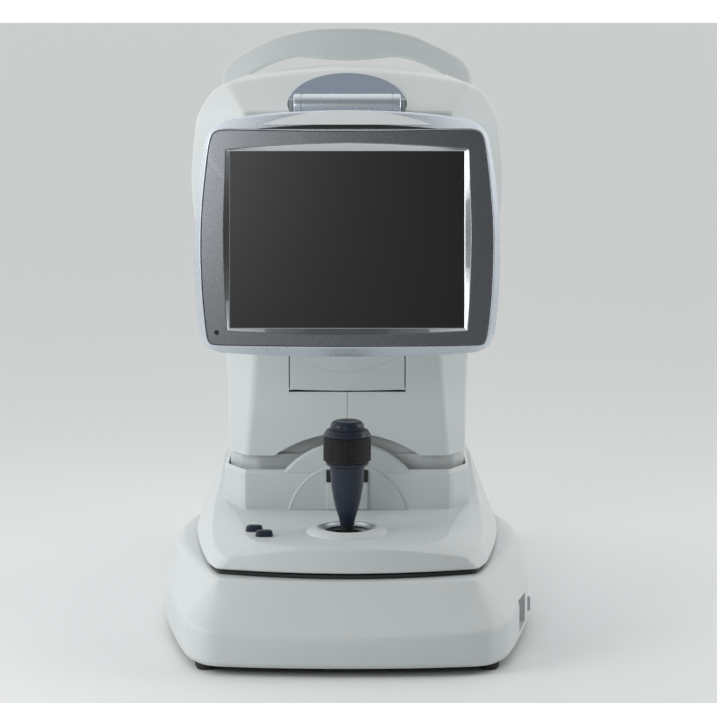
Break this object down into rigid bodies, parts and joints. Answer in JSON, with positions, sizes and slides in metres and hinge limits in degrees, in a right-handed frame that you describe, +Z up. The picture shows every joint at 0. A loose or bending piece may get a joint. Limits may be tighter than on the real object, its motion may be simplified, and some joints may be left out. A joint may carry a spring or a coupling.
{
  "type": "table-top optical biometer",
  "caption": "Table-top eye-measuring instrument: joystick-driven stage on a base, lifting head with printer door and tilting display, chin rest and forehead arch.",
  "frame": {"origin": "on the table under the middle of the base", "axes": "+X to the operator's right, +Y from the operator towards the patient, +Z up"},
  "size_m": [0.286, 0.504, 0.457],
  "materials": {
    "housing": "fine-grained moulded plastic, satin",
    "housing_insert": "fine-grained moulded plastic, satin",
    "pan_paint": "powder-coated sheet steel",
    "foot_rubber": "matt rubber",
    "cast_aluminium": "cast, bead-blasted",
    "steel": "ground steel",
    "steel_dark": "blackened steel",
    "sheet_steel": "zinc-plated sheet",
    "black_plastic": "black moulded plastic",
    "switch_plastic": "glossy black",
    "circuit_board": "solder mask",
    "knob_metal": "satin",
    "motor_metal": "black lacquer",
    "white_plastic": "smooth white plastic",
    "white_silicone": "soft white silicone",
    "mark_print": "printed line",
    "satin_ring": "silver paint, satin",
    "slate_grip": "slate-blue moulded plastic, satin",
    "slate_button": "slate-blue moulded plastic, satin",
    "knurl_rubber": "black rubber with a square knurl",
    "hinge_blue": "blue-grey metallic paint",
    "black_anodised": "black anodised",
    "lens_glass": "coated optical glass",
    "mire_white": "white ring with light sources",
    "paper": "thermal paper",
    "display_face": "dark silver metallic paint",
    "display_silver": "light blue-grey metallic paint",
    "screen_black": "glossy black screen"
  },
  "bodies": {
    "base": {"base_cover": "housing", "base_pan": "pan_paint", "base_feet": "foot_rubber", "base_frame": "cast_aluminium", "slide_racks": "steel", "friction_plate": "steel_dark", "port_panel": "black_plastic", "power_inlet": "black_plastic", "power_supply": "sheet_steel", "main_board": "circuit_board", "base_screws": "steel", "chin_motor": "motor_metal", "chinrest_column": "housing", "face_frame": "housing", "forehead_pad": "white_silicone", "eye_level_marks": "mark_print"},
    "rocker": {"power_switch": "switch_plastic"},
    "lock_knob": {"stage_lock_knob": "knob_metal"},
    "chin_drive": {"chin_screw": "steel"},
    "chin_rest": {"chin_post": "steel", "chin_cup": "white_plastic"},
    "carriage": {"carriage_yoke": "cast_aluminium", "cross_rods": "steel"},
    "axle": {"pinion_axle": "steel"},
    "stage": {"stage_plate": "cast_aluminium", "stage_cover": "housing", "tower_insert": "housing_insert", "joystick_bezel": "satin_ring", "joystick_socket": "steel_dark", "lift_rails": "steel", "lift_motor": "motor_metal"},
    "gimbal": {"gimbal_ring": "steel_dark"},
    "joystick": {"joystick_stick": "black_plastic", "joystick_grip": "slate_grip", "joystick_crown": "slate_grip"},
    "ring": {"height_ring": "knurl_rubber"},
    "trigger": {"measure_button": "slate_button"},
    "chin_up": {"chin_up_button": "slate_button"},
    "chin_down": {"chin_down_button": "slate_button"},
    "lift_drive": {"lead_screw": "steel"},
    "head": {"neck_sleeve": "housing", "head_chassis": "cast_aluminium", "head_cover_left": "housing", "head_cover_right": "housing", "hinge_cover": "hinge_blue", "hinge_brackets": "steel", "optics_barrel": "black_anodised", "objective_lens": "lens_glass", "mire_ring": "mire_white", "nose_bezel": "housing_insert", "camera_module": "black_anodised", "source_module": "black_anodised", "printer_body": "white_plastic"},
    "roll": {"paper_roll": "paper"},
    "platen": {"platen_roller": "foot_rubber"},
    "door": {"printer_door": "housing"},
    "display": {"display_bezel": "display_face", "display_back": "display_silver", "lcd_panel": "screen_black", "hinge_arm": "hinge_blue"}
  },
  "joints": [
    {"name": "stage_fore_aft", "type": "slide", "parent": "base", "child": "carriage", "axis": [0, 1, 0], "range_m": [-0.02, 0.02]},
    {"name": "axle_roll", "type": "hinge", "parent": "carriage", "child": "axle", "pos_m": [0, -0.02, 0.05515], "axis": [1, 0, 0], "range_deg": [-130, 130]},
    {"name": "stage_left_right", "type": "slide", "parent": "carriage", "child": "stage", "axis": [1, 0, 0], "range_m": [-0.043, 0.043]},
    {"name": "joystick_fore_aft", "type": "hinge", "parent": "stage", "child": "gimbal", "pos_m": [0, -0.158, 0.08], "axis": [1, 0, 0], "range_deg": [-10, 10]},
    {"name": "joystick_sideways", "type": "hinge", "parent": "gimbal", "child": "joystick", "pos_m": [0, -0.158, 0.08], "axis": [0, 1, 0], "range_deg": [-10, 10]},
    {"name": "height_ring_turn", "type": "hinge", "parent": "joystick", "child": "ring", "pos_m": [0, -0.158, 0.151], "axis": [0, 0, 1], "continuous": true},
    {"name": "measure_press", "type": "slide", "parent": "joystick", "child": "trigger", "axis": [0, 0, -1], "range_m": [0, 0.0025], "stiffness_N_per_m": 600, "springref_m": -0.001},
    {"name": "chin_up_press", "type": "slide", "parent": "stage", "child": "chin_up", "axis": [0, 0, -1], "range_m": [0, 0.0015], "stiffness_N_per_m": 800, "springref_m": -0.001},
    {"name": "chin_down_press", "type": "slide", "parent": "stage", "child": "chin_down", "axis": [0, 0, -1], "range_m": [0, 0.0015], "stiffness_N_per_m": 800, "springref_m": -0.001},
    {"name": "head_lift", "type": "slide", "parent": "stage", "child": "head", "axis": [0, 0, 1], "range_m": [-0.005, 0.027]},
    {"name": "lift_screw_turn", "type": "hinge", "parent": "stage", "child": "lift_drive", "pos_m": [0, 0.04, 0.2], "axis": [0, 0, 1], "continuous": true},
    {"name": "chin_lift", "type": "slide", "parent": "base", "child": "chin_rest", "axis": [0, 0, 1], "range_m": [0, 0.06]},
    {"name": "chin_screw_turn", "type": "hinge", "parent": "base", "child": "chin_drive", "pos_m": [0, 0.208, 0.09], "axis": [0, 0, 1], "continuous": true},
    {"name": "display_tilt", "type": "hinge", "parent": "head", "child": "display", "pos_m": [0, -0.131, 0.405], "axis": [-1, 0, 0], "range_deg": [0, 35]},
    {"name": "printer_door_open", "type": "hinge", "parent": "head", "child": "door", "pos_m": [0, -0.0764, 0.1826], "axis": [1, 0, 0], "range_deg": [0, 90]},
    {"name": "platen_turn", "type": "hinge", "parent": "head", "child": "platen", "pos_m": [0, -0.066, 0.226], "axis": [1, 0, 0], "continuous": true},
    {"name": "paper_roll_turn", "type": "hinge", "parent": "head", "child": "roll", "pos_m": [0, -0.045, 0.206], "axis": [1, 0, 0], "continuous": true},
    {"name": "lock_turn", "type": "hinge", "parent": "base", "child": "lock_knob", "pos_m": [0.13, -0.1, 0.017], "axis": [1, 0, 0], "range_deg": [0, 90]},
    {"name": "power_rock", "type": "hinge", "parent": "base", "child": "rocker", "pos_m": [-0.079, 0.244, 0.03], "axis": [1, 0, 0], "range_deg": [-6, 6]}
  ],
  "couplings": [
    {"joint": "axle_roll", "follows": "stage_fore_aft", "rad_per_m": -111.11},
    {"joint": "lift_screw_turn", "follows": "head_lift", "rad_per_m": -1570.8},
    {"joint": "chin_screw_turn", "follows": "chin_lift", "rad_per_m": -2094.4}
  ]
}
